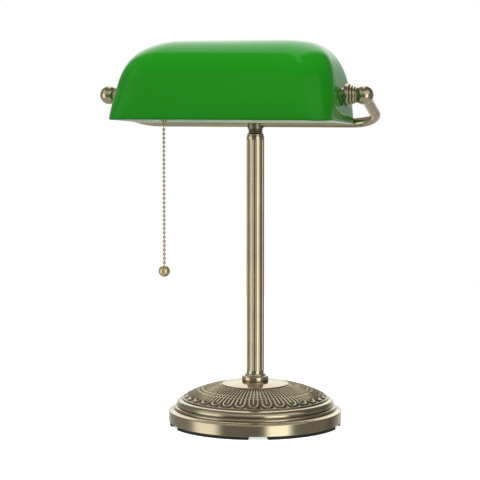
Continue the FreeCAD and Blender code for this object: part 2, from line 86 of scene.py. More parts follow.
# The glass, as shares of its height: how late its ends and sides curve over, and how square they do it.
END_BEND, END_SQUARENESS = 2.2, 7.0
SIDE_BEND, SIDE_SQUARENESS = 2.3, 3.0
CORNERS_OPEN_AT = 0.35
CORNER_LIMIT = 0.85
CROWN_LAG = 6

# The band of tongues on the foot.
BAND_INNER = 34.2 * MM
BAND_OUTER = COVER_HIGH.x - 14.3 * MM
LEAF_END_RADIUS = 66.4 * MM
LEAF_START = math.radians(-74.9)
RIDGES_PER_LEAF = 3
RIDGE_SHARPNESS = 0.8
INNER_FADE = 1.5 * MM
OUTER_FADE = 0.8 * MM
# How dark the painted shade in the creases between the foot's steps is.
CREASE_SHADE = 0.75

# Radius and width of each ridge of a clamp collar, in mm, from the glass outwards.
CLAMP_RIDGES = ((10.5, 4.6), (9.0, 2.6), (8.0, 2.6), (7.25, 1.6))
CLAMP_BORE = 4.05 * MM
CLAMP_GROOVE = 1.9
COVER_BORE = 5.3 * MM
FOOT_COLLAR_BORE = 9.0 * MM
NECK_RING_BORE = 5.1 * MM
RIBBED_COLLAR_BORE = 6.3 * MM
RIB_COUNT = 2
BEAD_COUNT = 34


# ---------------------------------------------------------------- sizes and colours a user would change

def length(label, text, value):
    return bpy.props.FloatProperty(name=label, description=text, default=value, min=0.0,
                                   subtype="DISTANCE", unit="LENGTH")


def colour(label, text, value):
    return bpy.props.FloatVectorProperty(name=label, description=text, default=value, size=3,
                                         min=0.0, max=1.0, subtype="COLOR")


class LampShadeSettings(bpy.types.PropertyGroup):
    half_length: length("Half Length", "From the shade's middle to its end at the rim",
                        (SHADE_HIGH.x - SHADE_LOW.x) / 2)
    half_depth: length("Half Depth", "From the shade's middle to its long side at the rim", 62 * MM)
    height: length("Height", "From the rim to the crown", 78.5 * MM)
    above_rim: length("Pivot Above Rim", "From the rim to the line that the shade turns on", 25.7 * MM)
    wall: length("Glass Thickness", "Thickness of the cased glass", 4 * MM)
    rim_corner: length("Rim Corner", "Radius of the four corners at the rim, seen from above", 20 * MM)
    plan_corner: length("Plan Corner", "Radius of the corners higher up", 30 * MM)
    rim_lead: length("Rim Lead", "How far the rim stands ahead of the walls above it", 4 * MM)
    crown_shift: length("Crown Shift", "How far the crown stands behind the middle of the rim", 16 * MM)
    tilt: bpy.props.FloatProperty(name="Rest Tilt", description="How far the front edge is raised at rest",
                                  default=math.radians(2.75), subtype="ANGLE", unit="ROTATION")
    outside: colour("Outside Glass", "Green layer of the cased glass", (0.011, 0.237, 0.007))
    inside: colour("Inside Glass", "Opal layer of the cased glass", (0.86, 0.97, 0.80))


class LampMetalSettings(bpy.types.PropertyGroup):
    brass: colour("Antique Brass", "Brushed brass of the foot, stem and yoke", (0.58, 0.50, 0.335))
    # The colour painted into hollows and grooves as shade.
    painted_shade: colour("Tarnish", "Dark brass left in the recesses", (0.050, 0.042, 0.032))
    chain: colour("Chain Brass", "Plated brass of the chain and lamp holder", (0.42, 0.38, 0.22))


class LampFootSettings(bpy.types.PropertyGroup):
    leaf_count: bpy.props.IntProperty(name="Leaves", description="Tongues round the embossed band",
                                      default=32, min=8, max=60)
    relief: length("Relief", "From the embossed ridges to the grooves between them", 1.2 * MM)
    cap_radius: length("Cap Radius", "Radius of the cap inside the embossed band", 33.9 * MM)
    skirt: length("Skirt Height", "Height of the foot's upright edge", 10.5 * MM)
    wall: length("Wall", "Thickness of the pressed cover", 1.5 * MM)


# ---------------------------------------------------------------- materials

def new_material(name):
    material = bpy.data.materials.new(name)
    material.use_nodes = True
    tree = material.node_tree
    tree.nodes.clear()
    output = tree.nodes.new("ShaderNodeOutputMaterial")
    shader = tree.nodes.new("ShaderNodeBsdfPrincipled")
    tree.links.new(shader.outputs["BSDF"], output.inputs["Surface"])
    return material, tree, shader


def object_noise(tree, scale, detail=3.0, stretch=(1, 1, 1)):
    """Noise that stays with the piece; scale is in ripples a metre."""
    place = tree.nodes.new("ShaderNodeTexCoord")
    mapping = tree.nodes.new("ShaderNodeMapping")
    mapping.inputs["Scale"].default_value = stretch
    noise = tree.nodes.new("ShaderNodeTexNoise")
    noise.inputs["Scale"].default_value = scale
    noise.inputs["Detail"].default_value = detail
    tree.links.new(place.outputs["Object"], mapping.inputs["Vector"])
    tree.links.new(mapping.outputs["Vector"], noise.inputs["Vector"])
    return noise.outputs["Fac"]


def spread(tree, source, low, high):
    """Stretches the middle of a noise to run from low to high."""
    span = tree.nodes.new("ShaderNodeMapRange")
    span.inputs["From Min"].default_value = 0.3
    span.inputs["From Max"].default_value = 0.7
    span.inputs["To Min"].default_value = low
    span.inputs["To Max"].default_value = high
    tree.links.new(source, span.inputs["Value"])
    return span.outputs["Result"]


def two_colours(tree, source, first, second):
    mix = tree.nodes.new("ShaderNodeMix")
    mix.data_type = "RGBA"
    mix.inputs["A"].default_value = (*first, 1)
    mix.inputs["B"].default_value = (*second, 1)
    tree.links.new(source, mix.inputs["Factor"])
    return mix.outputs["Result"]


def bumped(tree, shader, source, strength, distance):
    bump = tree.nodes.new("ShaderNodeBump")
    bump.inputs["Strength"].default_value = strength
    bump.inputs["Distance"].default_value = distance
    tree.links.new(source, bump.inputs["Height"])
    tree.links.new(bump.outputs["Normal"], shader.inputs["Normal"])


def shaded(value, share):
    """A colour darkened to a share of itself."""
    return tuple(channel * share for channel in value)


def ring_place(tree, axis):
    """Distance from, and place along, the line that a turned piece was spun about."""
    place = tree.nodes.new("ShaderNodeTexCoord")
    centred = tree.nodes.new("ShaderNodeMapping")
    if axis == "X":
        centred.inputs["Location"].default_value = -PIVOT
    apart = tree.nodes.new("ShaderNodeSeparateXYZ")
    flat = tree.nodes.new("ShaderNodeCombineXYZ")
    away = tree.nodes.new("ShaderNodeVectorMath")
    away.operation = "LENGTH"
    pair = tree.nodes.new("ShaderNodeCombineXYZ")
    tree.links.new(place.outputs["Object"], centred.inputs["Vector"])
    tree.links.new(centred.outputs["Vector"], apart.inputs["Vector"])
    across = "Y" if axis == "X" else "X"
    upright = "Z" if axis == "X" else "Y"
    tree.links.new(apart.outputs[across], flat.inputs["X"])
    tree.links.new(apart.outputs[upright], flat.inputs["Y"])
    tree.links.new(flat.outputs["Vector"], away.inputs[0])
    tree.links.new(away.outputs["Value"], pair.inputs["X"])
    tree.links.new(apart.outputs[axis], pair.inputs["Y"])
    return pair.outputs["Vector"]


def metal(name, tone, roughness, grain=900.0, turned_about=None, wear=0.86, recess_shade=None):
    """Plated metal, brushed in rings where it was turned. The recess colour is painted shade, laid into its
    hollows.
    """
    material, tree, shader = new_material(name)
    shader.inputs["Metallic"].default_value = 1.0
    cloudy = spread(tree, object_noise(tree, 38.0), 0.0, 1.0)
    toned = two_colours(tree, cloudy, shaded(tone, wear), tone)
    fine = object_noise(tree, grain, 2.0)
    tree.links.new(spread(tree, fine, roughness * 0.9, roughness * 1.12), shader.inputs["Roughness"])
    if turned_about is not None:
        brushed = tree.nodes.new("ShaderNodeTexNoise")
        brushed.inputs["Scale"].default_value = BRUSH_MARKS
        brushed.inputs["Detail"].default_value = 2.0
        tree.links.new(ring_place(tree, turned_about), brushed.inputs["Vector"])
        bumped(tree, shader, brushed.outputs["Fac"], 0.35, BRUSH_DEPTH)
    else:
        bumped(tree, shader, fine, 0.08, BRUSH_DEPTH)
    # Painted shade: the recess colour is mixed in as far as the vertex's stored value says.
    if recess_shade is not None:
        attribute = tree.nodes.new("ShaderNodeAttribute")
        attribute.attribute_name = "recess_shade"
        dark = tree.nodes.new("ShaderNodeMix")
        dark.data_type = "RGBA"
        dark.inputs["B"].default_value = (*recess_shade, 1)
        tree.links.new(toned, dark.inputs["A"])
        tree.links.new(attribute.outputs["Fac"], dark.inputs["Factor"])
        toned = dark.outputs["Result"]
    tree.links.new(toned, shader.inputs["Base Color"])
    return material


def moulded(name, tone, roughness, grain=1400.0, coat=0.0):
    """Plastic, rubber, ceramic or card with a fine grain."""
    material, tree, shader = new_material(name)
    cloudy = spread(tree, object_noise(tree, 60.0), 0.0, 1.0)
    tree.links.new(two_colours(tree, cloudy, shaded(tone, 0.86), tone), shader.inputs["Base Color"])
    fine = object_noise(tree, grain)
    tree.links.new(spread(tree, fine, roughness * 0.9, roughness * 1.1), shader.inputs["Roughness"])
    shader.inputs["Coat Weight"].default_value = coat
    bumped(tree, shader, fine, 0.2, 0.04 * MM)
    return material


def green_glass(settings):
    """Polished green layer, faintly streaked and not quite flat."""
    material, tree, shader = new_material("green_cased_glass")
    streaks = spread(tree, object_noise(tree, 9.0, 2.0, (0.5, 1, 1.6)), 0.0, 1.0)
    tone = tuple(settings.outside)
    tree.links.new(two_colours(tree, streaks, shaded(tone, 0.93), tone), shader.inputs["Base Color"])
    haze = spread(tree, object_noise(tree, 26.0), 0.045, 0.075)
    tree.links.new(haze, shader.inputs["Roughness"])
    shader.inputs["IOR"].default_value = 1.52
    shader.inputs["Specular IOR Level"].default_value = 0.16
    bumped(tree, shader, object_noise(tree, 14.0, 1.0), 0.05, 0.6 * MM)
    return material


def opal_glass(settings):
    """Milky layer on the inside of the shade."""
    material, tree, shader = new_material("opal_inside_glass")
    milky = spread(tree, object_noise(tree, 16.0), 0.0, 1.0)
    tone = tuple(settings.inside)
    tree.links.new(two_colours(tree, milky, shaded(tone, 0.95), tone), shader.inputs["Base Color"])
    tree.links.new(spread(tree, object_noise(tree, 40.0), 0.16, 0.24), shader.inputs["Roughness"])
    shader.inputs["Subsurface Weight"].default_value = 0.15
    shader.inputs["Subsurface Radius"].default_value = (settings.wall,) * 3
    return material


def bulb_coating():
    """Frosted white glass of the bulb."""
    material, tree, shader = new_material("bulb_frosting")
    milky = spread(tree, object_noise(tree, 60.0), 0.0, 1.0)
    toned = two_colours(tree, milky, (0.83, 0.82, 0.79), (0.90, 0.89, 0.86))
    tree.links.new(toned, shader.inputs["Base Color"])
    tree.links.new(spread(tree, object_noise(tree, 500.0), 0.30, 0.42), shader.inputs["Roughness"])
    return material


def finishes():
    """Every finish by the name of the record's material slot that it stands for."""
    metals = bpy.context.scene.lamp_metal
    brass = tuple(metals.brass)
    chain = tuple(metals.chain)
    return {
        "antique_brass": metal("antique_brass", brass, 0.13),
        # The ribbed collar's own dark finish, with near black painted shade in its grooves.
        "dark_brass": metal("dark_brass", shaded(brass, 0.26), 0.14, turned_about="Z",
                            recess_shade=shaded(metals.painted_shade, 0.3)),
        "bright_brass": metal("bright_brass", chain, 0.16, wear=0.9),
        "zinc_steel": metal("zinc_steel", (0.60, 0.60, 0.58), 0.33, turned_about="X"),
        "cast_weight": metal("cast_weight", (0.10, 0.10, 0.105), 0.62, grain=260.0),
        "plain_aluminium": metal("plain_aluminium", (0.72, 0.72, 0.73), 0.3),
        "contact_metal": metal("contact_metal", (0.78, 0.64, 0.36), 0.25),
        "black_plate": moulded("black_plate", (0.018, 0.018, 0.018), 0.45, 900.0),
        "black_rubber": moulded("black_rubber", (0.022, 0.022, 0.022), 0.75, 1800.0),
        "black_plastic": moulded("black_plastic", (0.020, 0.020, 0.021), 0.42),
        "brown_plastic": moulded("brown_plastic", (0.17, 0.08, 0.03), 0.35),
        "clear_lead": moulded("clear_lead", (0.60, 0.52, 0.26), 0.3, coat=0.4),
        "liner_card": moulded("liner_card", (0.30, 0.22, 0.13), 0.85, 500.0),
        "bulb_ceramic": moulded("bulb_ceramic", (0.80, 0.80, 0.78), 0.3),
        "opal_glass": bulb_coating(),
        # Painted shade darkens the hollows of the turned foot, collars and rings.
        "turned_foot_brass": metal("turned_foot_brass", brass, 0.16, turned_about="Z",
                                   recess_shade=tuple(metals.painted_shade)),
        "turned_hub_brass": metal("turned_hub_brass", brass, 0.14, turned_about="X",
                                  recess_shade=tuple(metals.painted_shade)),
    }


def painted_shade(piece, share):
    """Stores how much painted shade each vertex gets, from 0 to 1, as share gives it for the vertex's place."""
    recess_shade = piece.data.attributes.new("recess_shade", "FLOAT", "POINT")
    for vertex in piece.data.vertices:
        recess_shade.data[vertex.index].value = share(vertex.co)


def give(piece, *materials):
    piece.data.materials.clear()
    for material in materials:
        piece.data.materials.append(material)


def finish_named(name):
    return bpy.data.materials[name]


# ---------------------------------------------------------------- modelling helpers

def start_clean():
    """Leaves nothing selected, because an operator acts on all that is."""
    if bpy.context.object and bpy.context.object.mode != "OBJECT":
        bpy.ops.object.mode_set(mode="OBJECT")
    bpy.ops.object.select_all(action="DESELECT")


def choose_faces(piece, test):
    """Selects, in edit mode, the faces whose middle passes the test."""
    bpy.ops.mesh.select_mode(type="FACE")
    bpy.ops.mesh.select_all(action="DESELECT")
    mesh = bmesh.from_edit_mesh(piece.data)
    for face in mesh.faces:
        if test(face.calc_center_median()):
            face.select_set(True)
    mesh.select_flush_mode()
    bmesh.update_edit_mesh(piece.data)


def settle(piece):
    """Leaves edit mode and puts the piece's place into its mesh."""
    if bpy.context.object.mode != "OBJECT":
        bpy.ops.object.mode_set(mode="OBJECT")
    bpy.ops.object.transform_apply(location=True, rotation=True, scale=True)
    return piece


def modified(piece, kind, **values):
    """Adds a modifier with these values and applies it."""
    modifier = piece.modifiers.new(kind.title(), kind)
    for name, value in values.items():
        setattr(modifier, name, value)
    bpy.ops.object.modifier_apply(modifier=modifier.name)


def smooth(degrees=40):
    bpy.ops.object.shade_smooth_by_angle(angle=math.radians(degrees))


def turned(name, outline, steps=96, centre=(0, 0, 0), along="Z"):
    """Spins an outline of (radius, height) points about a line through centre.

    The outline's ends are on the line, or they meet.
    """
    start_clean()
    bpy.ops.mesh.primitive_plane_add(size=0.001, location=(0, 0, 0))
    piece = bpy.context.object
    piece.name = piece.data.name = name
    bpy.ops.object.mode_set(mode="EDIT")
    bpy.ops.mesh.select_all(action="SELECT")
    bpy.ops.mesh.delete(type="VERT")
    mesh = bmesh.from_edit_mesh(piece.data)
    points = [mesh.verts.new((radius, 0, height)) for radius, height in outline]
    for first, second in zip(points, points[1:]):
        mesh.edges.new((first, second))
    bmesh.update_edit_mesh(piece.data)
    bpy.ops.mesh.select_all(action="SELECT")
    bpy.ops.mesh.spin(steps=steps, angle=FULL_TURN, center=(0, 0, 0), axis=(0, 0, 1))
    bpy.ops.mesh.select_all(action="SELECT")
    bpy.ops.mesh.remove_doubles(threshold=0.000002)
    bpy.ops.mesh.normals_make_consistent(inside=False)
    bpy.ops.object.mode_set(mode="OBJECT")
    if along == "X":
        piece.rotation_euler = (0, math.pi / 2, 0)
    if along == "-X":
        piece.rotation_euler = (0, -math.pi / 2, 0)
    piece.location = centre
    settle(piece)
    smooth()
    return piece


def arc_points(centre, radius, start, end, count):
    """Points (radius, height) round an arc, angles in degrees from straight out, upwards."""
    points = []
    for i in range(count + 1):
        angle = math.radians(start + (end - start) * i / count)
        points.append((centre[0] + radius * math.cos(angle), centre[1] + radius * math.sin(angle)))
    return points


def arc_through(start, middle, end, count):
    """Points (radius, height) on the arc from start to end by way of middle."""
    (ax, ay), (bx, by), (cx, cy) = start, middle, end
    squares = (ax * ax + ay * ay, bx * bx + by * by, cx * cx + cy * cy)
    twice = 2 * (ax * (by - cy) + bx * (cy - ay) + cx * (ay - by))
    centre = ((squares[0] * (by - cy) + squares[1] * (cy - ay) + squares[2] * (ay - by)) / twice,
              (squares[0] * (cx - bx) + squares[1] * (ax - cx) + squares[2] * (bx - ax)) / twice)
    first, via, last = (math.atan2(y - centre[1], x - centre[0]) for x, y in (start, middle, end))
    sweep = (last - first) % FULL_TURN
    if (via - first) % FULL_TURN > sweep:
        sweep -= FULL_TURN
    radius = math.hypot(ax - centre[0], ay - centre[1])
    return [(centre[0] + radius * math.cos(first + sweep * i / count),
             centre[1] + radius * math.sin(first + sweep * i / count)) for i in range(count + 1)]


# ---------------------------------------------------------------- shade

def shade_ring(s, share, corner_steps, side_cuts, end_cuts):
    """Points round the glass at a share of its height.

    They go round a rectangle with round corners, starting at the back right one.
    """
    wide = s.half_length * (1 - share ** END_BEND) ** (1 / END_SQUARENESS)
    deep = s.half_depth * (1 - share ** SIDE_BEND) ** (1 / SIDE_SQUARENESS)
    opened = min(1.0, share / CORNERS_OPEN_AT)
    corner = min(s.rim_corner + (s.plan_corner - s.rim_corner) * opened, CORNER_LIMIT * deep)
    back = s.crown_shift * share ** CROWN_LAG - s.rim_lead * (1 - opened)
    points = []
    for quarter, (sx, sy) in enumerate(((1, 1), (-1, 1), (-1, -1), (1, -1))):
        centre = Vector((sx * (wide - corner), sy * (deep - corner) + back, share * s.height))
        for i in range(corner_steps + 1):
            angle = math.pi / 2 * (quarter + i / corner_steps)
            points.append(centre + Vector((corner * math.cos(angle), corner * math.sin(angle), 0)))
        across = quarter % 2 == 0
        gap = 2 * ((wide if across else deep) - corner)
        cuts = side_cuts if across else end_cuts
        way = Vector((-sx, 0, 0)) if across else Vector((0, -sy, 0))
        last = points[-1]
        points += [last + way * gap * i / (cuts + 1) for i in range(1, cuts + 1)]
    return points


class LAMP_OT_shade(bpy.types.Operator):
    """Draw the rim with rounded corners, raise it ring by ring to the crown and give it a two-layer wall"""
    bl_idname = "lamp.shade"
    bl_label = "Glass Shade"

    def execute(self, context):
        s = context.scene.lamp_shade
        corner_steps, side_cuts, end_cuts = 8, 13, 5
        start_clean()
        count = 4 * (corner_steps + 1) + 2 * side_cuts + 2 * end_cuts
        bpy.ops.mesh.primitive_circle_add(vertices=count, radius=s.half_depth, fill_type="NOTHING")
        shade = bpy.context.object
        shade.name = shade.data.name = "cased_glass_shade"
        bpy.ops.object.mode_set(mode="EDIT")
        bpy.ops.mesh.select_all(action="SELECT")
        mesh = bmesh.from_edit_mesh(shade.data)
        order = sorted(mesh.verts, key=lambda v: math.atan2(v.co.y, v.co.x) % FULL_TURN)
        last = shade_ring(s, 0.0, corner_steps, side_cuts, end_cuts)
        for vertex, place in zip(order, last):
            vertex.co = place
        bmesh.update_edit_mesh(shade.data)
        rings = 20
        for i in range(1, rings):
            share = 1 - (1 - i / rings) ** 2
            bpy.ops.mesh.extrude_region_move(TRANSFORM_OT_translate={"value": (0, 0, s.height)})
            ring = shade_ring(s, share, corner_steps, side_cuts, end_cuts)
            self.settle_ring(shade, last, ring, s.height)
            last = ring
        self.cap(shade, last, corner_steps, side_cuts)
        bpy.ops.mesh.select_all(action="SELECT")
        bpy.ops.mesh.normals_make_consistent(inside=False)
        bpy.ops.object.mode_set(mode="OBJECT")
        give(shade, green_glass(s), opal_glass(s))
        modified(shade, "SOLIDIFY", thickness=s.wall, offset=-1, use_even_offset=True,
                 material_offset=1, material_offset_rim=0)
        modified(shade, "BEVEL", width=1.1 * MM, segments=2, limit_method="ANGLE",
                 angle_limit=math.radians(55))
        modified(shade, "SUBSURF", levels=1, render_levels=1)
        shade.location = PIVOT
        shade.rotation_euler = (-s.tilt, 0, 0)
        bpy.ops.object.mode_set(mode="EDIT")
        bpy.ops.mesh.select_all(action="SELECT")
        bpy.ops.transform.translate(value=(0, 0, -s.above_rim), orient_type="LOCAL")
        settle(shade)
        bpy.ops.object.shade_smooth()
        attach(shade, "shade")
        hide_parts("glass_shade")
        return {"FINISHED"}

    def settle_ring(self, shade, last, ring, lift):
        """Moves each newly raised point from over its place in the last ring to its place in the next."""
        mesh = bmesh.from_edit_mesh(shade.data)
        raised = [vertex for vertex in mesh.verts if vertex.select]
        for vertex in raised:
            under = vertex.co - Vector((0, 0, lift))
            nearest = min(range(len(last)), key=lambda i: (last[i] - under).length_squared)
            vertex.co = ring[nearest]
        bmesh.update_edit_mesh(shade.data)

    def cap(self, shade, ring, corner_steps, side_cuts):
        """Closes the crown with a grid whose corners are the middles of the four corner arcs."""
        mesh = bmesh.from_edit_mesh(shade.data)
        corner = min(mesh.verts, key=lambda v: (v.co - ring[corner_steps // 2]).length_squared)
        mesh.select_history.clear()
        mesh.select_history.add(corner)
        bmesh.update_edit_mesh(shade.data)
        bpy.ops.mesh.fill_grid(span=corner_steps + side_cuts + 1)


# ---------------------------------------------------------------- foot

def leaf_relief(radius, angle, count):
    """Height, from -1 to 1, of the pattern of tongues at a place on the band.

    Each tongue is a spine with a groove and a raised border round it. Its end is a half circle.
    """
    unit = FULL_TURN / count
    phase = (angle - LEAF_START) / unit
    across = (phase - round(phase)) * unit
    half = unit * LEAF_END_RADIUS / 2
    if radius < LEAF_END_RADIUS:
        share = abs(across) * 2 / unit
    else:
        share = math.hypot(across * LEAF_END_RADIUS, radius - LEAF_END_RADIUS) / half
    if share <= 1:
        height = math.cos(RIDGES_PER_LEAF * math.pi * share)
    else:
        height = min(0.1, -1 + (share - 1) * 2.4)
    sharp = math.copysign(abs(height) ** RIDGE_SHARPNESS, height)
    faded = min(1.0, (radius - BAND_INNER) / INNER_FADE, (BAND_OUTER - radius) / OUTER_FADE)
    return sharp * max(0.0, faded)


class LAMP_OT_foot(bpy.types.Operator):
    """Spin the stepped foot cover, then raise the ring of tongues on its band"""
    bl_idname = "lamp.foot"
    bl_label = "Foot Cover"

    def execute(self, context):
        s = context.scene.lamp_foot
        edge = COVER_HIGH.x
        top = COVER_HIGH.z
        low = COVER_LOW.z
        skirt = low + s.skirt

        def step(inward, rise):
            """A point of the outline, in mm inwards from the skirt and up from its top."""
            return edge - inward * MM, skirt + rise * MM

        band = arc_through(step(14.0, 13.9), ((edge - 14 * MM + s.cap_radius) / 2 + 4 * MM, top - 9.6 * MM),
                           (s.cap_radius, top - 3.9 * MM), 58)
        outline = [(edge - s.wall, low), (edge - 0.5 * MM, low), (edge, low + 0.5 * MM), step(0, -0.3)]
        outline += arc_through(step(0, 0), step(0.4, 0.9), step(1.4, 1.3), 4)
        outline += [step(4.6, 2.4), step(5.2, 2.8), step(5.4, 3.2)]
        outline += arc_through(step(5.4, 3.5), step(5.8, 5.0), step(7.2, 5.6), 6)
        outline += [step(7.8, 5.8), step(7.9, 6.1)]
        outline += arc_through(step(7.95, 6.5), step(8.9, 10.4), step(12.0, 12.2), 9)
        outline += [step(13.3, 12.5), step(13.6, 12.8), step(13.8, 13.5)]
        outline += band
        outline += [(s.cap_radius - 0.1 * MM, top - 3.3 * MM), (s.cap_radius - 0.5 * MM, top - 2.9 * MM)]
        outline += arc_through((s.cap_radius - 1.2 * MM, top - 2.7 * MM), (23.7 * MM, top - 1.0 * MM),
                               (13.5 * MM, top), 7)
        inner = [(COVER_BORE, top), (COVER_BORE, top - s.wall), (13.5 * MM, top - s.wall)]
        under_band = [self.inside(point, s.wall) for point in (band[-1], band[len(band) // 2], band[0])]
        inner += arc_through(*under_band, 8)
        inner += [self.inside(point, s.wall) for point in (step(8.9, 10.4), step(5.4, 3.2), step(0, 0))]
        cover = turned("embossed_foot_cover", outline + inner + outline[:1], steps=s.leaf_count * 24)
        # Painted shade: dark in the creases between the steps and in the grooves of the embossed band, where shade
        # falls.
        recess_shade = cover.data.attributes.new("recess_shade", "FLOAT", "POINT")
        level = {round(radius / MM, 2): height for radius, height in band}
        creases = [(edge - inward * MM) for inward in (5.2, 5.4, 7.8, 7.9, 7.95, 13.3, 13.6, 13.8)]
        creases += [s.cap_radius, s.cap_radius - 0.1 * MM]
        for vertex in cover.data.vertices:
            place = vertex.co
            radius = math.hypot(place.x, place.y)
            on_band = abs(level.get(round(radius / MM, 2), -1.0) - place.z) < MM / 100
            if not (on_band and BAND_INNER < radius < BAND_OUTER):
                in_crease = any(abs(radius - crease) < MM / 100 for crease in creases)
                recess_shade.data[vertex.index].value = CREASE_SHADE if in_crease else 0.0
                continue
            height = leaf_relief(radius, math.atan2(place.y, place.x), s.leaf_count)
            place.z += 0.5 * s.relief * height
            # Lower parts of the relief get more painted shade.
            recess_shade.data[vertex.index].value = min(0.85, max(0.0, 0.25 - 0.8 * height))
        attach(cover, "frame")
        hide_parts("foot_cover")
        give(cover, finish_named("turned_foot_brass"))
        return {"FINISHED"}

    def inside(self, point, wall):
        """The point on the inner face under a point of the outline."""
        return point[0] - wall, point[1] - wall


# ---------------------------------------------------------------- turned brass

class LAMP_OT_hubs(bpy.types.Operator):
    """Spin the two balls at the yoke's ends and the stepped collars that clamp the glass"""
    bl_idname = "lamp.hubs"
    bl_label = "Hubs and Clamp Collars"

    def execute(self, context):
        radius = (HUB_HIGH.z - HUB_LOW.z) / 2
        for side, name, turn in ((-1, "left", "-X"), (1, "right", "X")):
            low, high = node_box(name + "_hub")
            centre = (side * (max(abs(low.x), abs(high.x)) - radius), PIVOT.y, PIVOT.z)
            ball = turned(name + "_hub_ball", arc_points((0, 0), radius, -90, 90, 36), 72, centre, turn)
            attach(ball, "frame")
            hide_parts(name + "_hub")
            give(ball, finish_named("turned_hub_brass"))

            low, high = node_box(name + "_clamp_collar")
            inner_end = min(abs(low.x), abs(high.x))
            outline = [(CLAMP_BORE, 0), ((CLAMP_RIDGES[0][0] - 0.8) * MM, 0)]
            reach = 0.0
            for ridge, width in CLAMP_RIDGES:
                soft = min(0.8, width * 0.3)
                bend = (ridge - soft) * MM
                outline += arc_points((bend, (reach + soft) * MM), soft * MM, -80, 0, 4)
                outline += arc_points((bend, (reach + width - soft) * MM), soft * MM, 0, 80, 4)
                outline.append(((ridge - CLAMP_GROOVE) * MM, (reach + width - 0.1) * MM))
                outline.append(((ridge - CLAMP_GROOVE) * MM, (reach + width + 0.1) * MM))
                reach += width
            outline += [(CLAMP_BORE, (reach - 2.2) * MM), (CLAMP_BORE, 0)]
            seat = (side * inner_end, PIVOT.y, PIVOT.z)
            collar = turned(name + "_stepped_collar", outline, 96, seat, turn)
            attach(collar, name + "_clamp")
            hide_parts(name + "_clamp_collar")
            # Painted shade in the grooves between the collar's ridges.
            painted_shade(collar, lambda place: self.groove_shade(place, side * inner_end))
            give(collar, finish_named("turned_hub_brass"))
        for name, piece in frame["nodes"].items():
            if name.endswith("_washer"):
                give(piece, finish_named("turned_hub_brass"))
        return {"FINISHED"}

    def groove_shade(self, place, inner_end):
        """How far a point of a collar lies below the ridge that it is part of, up to 1: how much painted shade it
        gets.
        """
        radius = math.hypot(place.y - PIVOT.y, place.z - PIVOT.z) / MM
        along = abs(place.x - inner_end) / MM
        for ridge, width in CLAMP_RIDGES:
            if along <= width:
                return min(1.0, max(0.0, ridge - radius - 0.2))
            along -= width
        return 0.0


class LAMP_OT_stem_fittings(bpy.types.Operator):
    """Spin the foot collar, the neck ring and the ribbed collar under the yoke"""
    bl_idname = "lamp.stem_fittings"
    bl_label = "Stem Fittings"

    def execute(self, context):
        low, high = node_box("foot_collar")
        wide = high.x
        outline = [(FOOT_COLLAR_BORE, low.z), (wide - 0.8 * MM, low.z)]
        outline += arc_points((wide - 0.8 * MM, low.z + 0.8 * MM), 0.8 * MM, -70, 0, 4)
        outline += arc_points((wide - 1.0 * MM, low.z + 4.0 * MM), 1.0 * MM, 0, 80, 5)
        outline += [(wide - 1.9 * MM, low.z + 5.2 * MM), (wide - 2.6 * MM, low.z + 5.3 * MM)]
        outline += arc_points((wide - 3.9 * MM, high.z - 0.9 * MM), 0.8 * MM, -10, 80, 4)
        outline += [(FOOT_COLLAR_BORE, high.z), (FOOT_COLLAR_BORE, low.z)]
        self.fitted("turned_foot_collar", outline, "foot_collar", "turned_foot_brass")

        low, high = node_box("neck_ring")
        middle = (low.z + high.z) / 2
        half = (high.z - low.z) / 2
        bulge = half * 0.55
        outline = [(NECK_RING_BORE, low.z)]
        outline += [(high.x - bulge + bulge * math.cos(math.radians(degrees)),
                     middle + half * math.sin(math.radians(degrees))) for degrees in range(-90, 91, 15)]
        outline += [(NECK_RING_BORE, high.z), (NECK_RING_BORE, low.z)]
        ring = self.fitted("rolled_neck_ring", outline, "neck_ring", "turned_foot_brass")
        # Painted shade: dark lines along the ring's top and bottom edges.
        painted_shade(ring, lambda place: min(1.0, max(0.0, (abs(place.z - middle) / half - 0.55) * 2.4)))

        low, high = node_box("ribbed_collar")
        rib = (high.z - low.z) / RIB_COUNT
        outline = [(RIBBED_COLLAR_BORE, low.z)]
        for i in range(RIB_COUNT):
            middle = low.z + (i + 0.5) * rib
            outline += arc_points((high.x - 0.32 * rib, middle), 0.32 * rib, -80, 80, 6)
            outline.append((high.x - 1.2 * MM, middle + 0.46 * rib))
        outline += [(RIBBED_COLLAR_BORE, high.z), (RIBBED_COLLAR_BORE, low.z)]
        collar = self.fitted("ribbed_dark_collar", outline, "ribbed_collar", "dark_brass")
        # Painted shade: the grooves between the ribs are fully dark.
        painted_shade(collar, lambda place: 1.0 if math.hypot(place.x, place.y) < high.x - 0.5 * MM else 0.0)
        # The saddle gets the dark finish as painted shadow where it meets the yoke.
        give(frame["nodes"]["yoke_saddle"], finish_named("dark_brass"))
        return {"FINISHED"}

    def fitted(self, name, outline, node, finish):
        """Spins one fitting in place of its CAD node."""
        piece = turned(name, outline, 96)
        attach(piece, "frame")
        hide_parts(node)
        give(piece, finish_named(finish))
        return piece


# ---------------------------------------------------------------- pull chain

